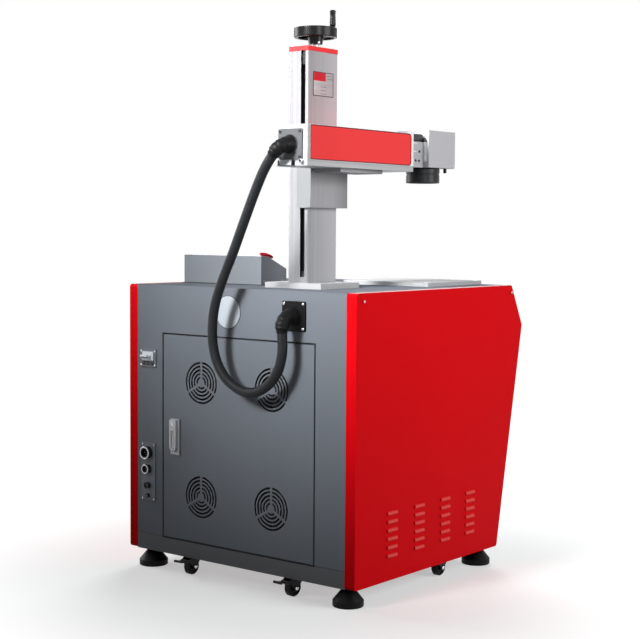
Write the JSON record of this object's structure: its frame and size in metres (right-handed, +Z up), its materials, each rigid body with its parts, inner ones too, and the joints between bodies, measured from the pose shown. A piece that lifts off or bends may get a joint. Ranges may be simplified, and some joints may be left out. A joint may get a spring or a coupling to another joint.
{
  "type": "laser marking machine",
  "caption": "Cabinet laser marking machine: wheeled case, crank-driven lift column, laser arm with scan head and lens over a work table, console and cable hose.",
  "frame": {"origin": "on the floor, below the middle of the machine's box without the hose", "axes": "+Z up, the operator's side faces -Y, the rear door faces +Y"},
  "size_m": [0.804, 0.88, 1.5253],
  "materials": {
    "cabinet_grey": "satin powder coat",
    "cabinet_red": "gloss powder coat",
    "frame_grey": "matt powder coat",
    "arm_red": "satin anodised look",
    "column_silver": "brushed and anodised",
    "head_grey": "satin",
    "table_silver": "milled",
    "steel": "ground",
    "nut_brass": "machined",
    "black_plastic": "moulded",
    "wheel_black": "polished",
    "rubber_black": "moulded",
    "hose_black": "ribbed sheath",
    "lens_black": "black anodised",
    "lens_glass": "coated",
    "mirror": "coated",
    "estop_red": "moulded",
    "button_green": "moulded",
    "breaker_white": "moulded",
    "handle_grey": "satin die casting"
  },
  "bodies": {
    "cabinet": {"main_frame": "frame_grey", "left_side_panel": "cabinet_red", "right_side_panel": "cabinet_red", "rear_panel": "cabinet_grey", "top_deck": "cabinet_grey", "front_panel": "cabinet_grey", "laser_source": "frame_grey", "control_unit": "cabinet_grey", "lower_gland": "rubber_black", "connector_panel": "black_plastic", "circuit_breaker": "breaker_white", "work_table": "table_silver", "console_housing": "cabinet_grey", "column_base": "column_silver", "column_post": "column_silver", "column_cap": "arm_red", "column_guide": "steel", "laser_hose": "hose_black"},
    "rear_door": {"rear_door": "cabinet_grey", "fan_frames": "black_plastic"},
    "rear_handle": {"rear_handle": "handle_grey"},
    "front_door": {"front_door": "cabinet_grey"},
    "front_handle": {"front_handle": "handle_grey"},
    "handwheel": {"lead_screw": "steel", "handwheel": "wheel_black"},
    "crank_knob": {"crank_knob": "wheel_black"},
    "carriage": {"carriage_bracket": "column_silver", "lift_nut": "nut_brass", "arm_frame": "column_silver", "arm_cover": "arm_red", "upper_gland": "rubber_black", "scan_head": "head_grey", "lens_barrel": "lens_black", "lens_glass": "lens_glass"},
    "scan_mirror_x": {"scan_mirror_x": "mirror"},
    "scan_mirror_y": {"scan_mirror_y": "mirror"},
    "estop_button": {"estop_button": "estop_red"},
    "start_button": {"start_button": "button_green"},
    "key_switch": {"key_switch": "steel"},
    "breaker_toggle": {"breaker_toggle": "breaker_white"},
    "fan_1": {"fan_rotor_1": "black_plastic"},
    "foot_1": {"foot_1": "rubber_black"},
    "caster_1": {"caster_fork_1": "frame_grey"},
    "wheel_1": {"caster_wheel_1": "rubber_black"},
    "pedal_1": {"brake_pedal_1": "black_plastic"},
    "fan_2": {"fan_rotor_2": "black_plastic"},
    "foot_2": {"foot_2": "rubber_black"},
    "caster_2": {"caster_fork_2": "frame_grey"},
    "wheel_2": {"caster_wheel_2": "rubber_black"},
    "pedal_2": {"brake_pedal_2": "black_plastic"},
    "fan_3": {"fan_rotor_3": "black_plastic"},
    "foot_3": {"foot_3": "rubber_black"},
    "caster_3": {"caster_fork_3": "frame_grey"},
    "wheel_3": {"caster_wheel_3": "rubber_black"},
    "pedal_3": {"brake_pedal_3": "black_plastic"},
    "fan_4": {"fan_rotor_4": "black_plastic"},
    "foot_4": {"foot_4": "rubber_black"},
    "caster_4": {"caster_fork_4": "frame_grey"},
    "wheel_4": {"caster_wheel_4": "rubber_black"},
    "pedal_4": {"brake_pedal_4": "black_plastic"}
  },
  "joints": [
    {"name": "carriage_lift", "type": "slide", "parent": "cabinet", "child": "carriage", "axis": [0, 0, 1], "range_m": [-0.15, 0.17], "deforming": ["laser_hose"]},
    {"name": "handwheel_turn", "type": "hinge", "parent": "cabinet", "child": "handwheel", "pos_m": [-0.109, 0.159, 1.424], "axis": [0, 0, 1], "range_deg": [-10850, 12290]},
    {"name": "crank_knob_spin", "type": "hinge", "parent": "handwheel", "child": "crank_knob", "pos_m": [-0.14397, 0.13068, 1.482], "axis": [0, 0, 1], "continuous": true},
    {"name": "rear_door_swing", "type": "hinge", "parent": "cabinet", "child": "rear_door", "pos_m": [-0.261, 0.346, 0.099], "axis": [0, 0, 1], "range_deg": [0, 100]},
    {"name": "rear_handle_turn", "type": "hinge", "parent": "rear_door", "child": "rear_handle", "pos_m": [0.22, 0.35, 0.414], "axis": [0, 1, 0], "range_deg": [-90, 0]},
    {"name": "front_door_swing", "type": "hinge", "parent": "cabinet", "child": "front_door", "pos_m": [0.261, -0.3317, 0.14306], "axis": [0, -0.1916, 0.9815], "range_deg": [0, 100]},
    {"name": "front_handle_turn", "type": "hinge", "parent": "front_door", "child": "front_handle", "pos_m": [-0.22, -0.38841, 0.41269], "axis": [0, -0.9815, -0.1916], "range_deg": [-90, 0]},
    {"name": "estop_press", "type": "slide", "parent": "cabinet", "child": "estop_button", "axis": [0, 0.402, -0.9156], "range_m": [0, 0.004]},
    {"name": "start_press", "type": "slide", "parent": "cabinet", "child": "start_button", "axis": [0, 0.402, -0.9156], "range_m": [0, 0.003], "stiffness_N_per_m": 400, "springref_m": -0.002},
    {"name": "key_turn", "type": "hinge", "parent": "cabinet", "child": "key_switch", "pos_m": [0.303, 0.099, 0.854], "axis": [0, -0.402, 0.9156], "range_deg": [-90, 0]},
    {"name": "breaker_flip", "type": "hinge", "parent": "cabinet", "child": "breaker_toggle", "pos_m": [0.322, 0.3565, 0.589], "axis": [1, 0, 0], "range_deg": [-50, 0]},
    {"name": "scan_mirror_x_turn", "type": "hinge", "parent": "carriage", "child": "scan_mirror_x", "pos_m": [-0.24, -0.1945, 1.166], "axis": [0, 0, 1], "range_deg": [-12, 12]},
    {"name": "scan_mirror_y_turn", "type": "hinge", "parent": "carriage", "child": "scan_mirror_y", "pos_m": [-0.214, -0.1945, 1.166], "axis": [0, 1, 0], "range_deg": [-12, 12]},
    {"name": "fan_spin_1", "type": "hinge", "parent": "rear_door", "child": "fan_1", "pos_m": [-0.124, 0.33, 0.5335], "axis": [0, 1, 0], "continuous": true},
    {"name": "fan_spin_2", "type": "hinge", "parent": "rear_door", "child": "fan_2", "pos_m": [0.124, 0.33, 0.5335], "axis": [0, 1, 0], "continuous": true},
    {"name": "fan_spin_3", "type": "hinge", "parent": "rear_door", "child": "fan_3", "pos_m": [-0.124, 0.33, 0.2235], "axis": [0, 1, 0], "continuous": true},
    {"name": "fan_spin_4", "type": "hinge", "parent": "rear_door", "child": "fan_4", "pos_m": [0.124, 0.33, 0.2235], "axis": [0, 1, 0], "continuous": true},
    {"name": "foot_turn_1", "type": "hinge", "parent": "cabinet", "child": "foot_1", "pos_m": [-0.346, 0.308, 0], "axis": [0, 0, 1], "continuous": true},
    {"name": "foot_turn_2", "type": "hinge", "parent": "cabinet", "child": "foot_2", "pos_m": [0.346, 0.308, 0], "axis": [0, 0, 1], "continuous": true},
    {"name": "foot_turn_3", "type": "hinge", "parent": "cabinet", "child": "foot_3", "pos_m": [-0.346, -0.29, 0], "axis": [0, 0, 1], "continuous": true},
    {"name": "foot_turn_4", "type": "hinge", "parent": "cabinet", "child": "foot_4", "pos_m": [0.346, -0.29, 0], "axis": [0, 0, 1], "continuous": true},
    {"name": "caster_swivel_1", "type": "hinge", "parent": "cabinet", "child": "caster_1", "pos_m": [-0.182, 0.308, 0.024], "axis": [0, 0, 1], "continuous": true},
    {"name": "wheel_roll_1", "type": "hinge", "parent": "caster_1", "child": "wheel_1", "pos_m": [-0.1806, 0.32795, 0.024], "axis": [-0.9976, 0.0698, 0], "continuous": true},
    {"name": "pedal_press_1", "type": "hinge", "parent": "caster_1", "child": "pedal_1", "pos_m": [-0.17879, 0.35389, 0.042], "axis": [-0.9976, 0.0698, 0], "range_deg": [0, 18]},
    {"name": "caster_swivel_2", "type": "hinge", "parent": "cabinet", "child": "caster_2", "pos_m": [0.182, 0.308, 0.024], "axis": [0, 0, 1], "continuous": true},
    {"name": "wheel_roll_2", "type": "hinge", "parent": "caster_2", "child": "wheel_2", "pos_m": [0.18026, 0.32792, 0.024], "axis": [-0.9962, -0.0872, 0], "continuous": true},
    {"name": "pedal_press_2", "type": "hinge", "parent": "caster_2", "child": "pedal_2", "pos_m": [0.17799, 0.35383, 0.042], "axis": [-0.9962, -0.0872, 0], "range_deg": [0, 18]},
    {"name": "caster_swivel_3", "type": "hinge", "parent": "cabinet", "child": "caster_3", "pos_m": [-0.346, -0.08, 0.024], "axis": [0, 0, 1], "continuous": true},
    {"name": "wheel_roll_3", "type": "hinge", "parent": "caster_3", "child": "wheel_3", "pos_m": [-0.3453, -0.09999, 0.024], "axis": [0.9994, 0.0349, 0], "continuous": true},
    {"name": "pedal_press_3", "type": "hinge", "parent": "caster_3", "child": "pedal_3", "pos_m": [-0.3444, -0.12597, 0.042], "axis": [0.9994, 0.0349, 0], "range_deg": [0, 18]},
    {"name": "caster_swivel_4", "type": "hinge", "parent": "cabinet", "child": "caster_4", "pos_m": [0.346, -0.08, 0.024], "axis": [0, 0, 1], "continuous": true},
    {"name": "wheel_roll_4", "type": "hinge", "parent": "caster_4", "child": "wheel_4", "pos_m": [0.34426, -0.09992, 0.024], "axis": [0.9962, -0.0872, 0], "continuous": true},
    {"name": "pedal_press_4", "type": "hinge", "parent": "caster_4", "child": "pedal_4", "pos_m": [0.34199, -0.12582, 0.042], "axis": [0.9962, -0.0872, 0], "range_deg": [0, 18]}
  ],
  "couplings": [
    {"joint": "handwheel_turn", "follows": "carriage_lift", "rad_per_m": 1256.6}
  ]
}
